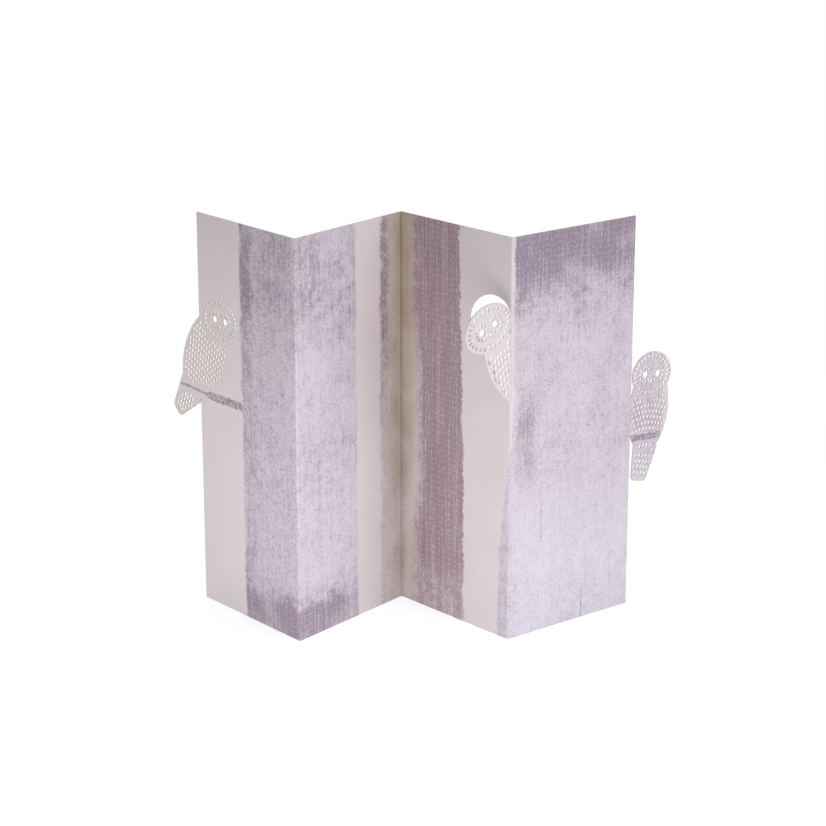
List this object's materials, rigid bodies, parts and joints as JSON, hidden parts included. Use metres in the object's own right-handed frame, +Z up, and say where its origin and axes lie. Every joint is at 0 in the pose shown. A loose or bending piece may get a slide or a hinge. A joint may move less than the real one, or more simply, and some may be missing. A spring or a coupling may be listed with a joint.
{
  "type": "greeting card",
  "caption": "Tall concertina greeting card folded in a zigzag, with lace-cut owls that lean out past its free edges and stand out from one fold.",
  "frame": {"origin": "foot of the middle fold, halfway through the card's thickness", "axes": "+Z up along the folds, +X to the right as the printed side is seen, -Y towards someone who reads it"},
  "size_m": [0.2222, 0.084, 0.178],
  "materials": {
    "card_stock": "uncoated off-white card with dry-brushed mauve bands printed on the front"
  },
  "bodies": {
    "root": {"card": "card_stock"}
  },
  "joints": []
}
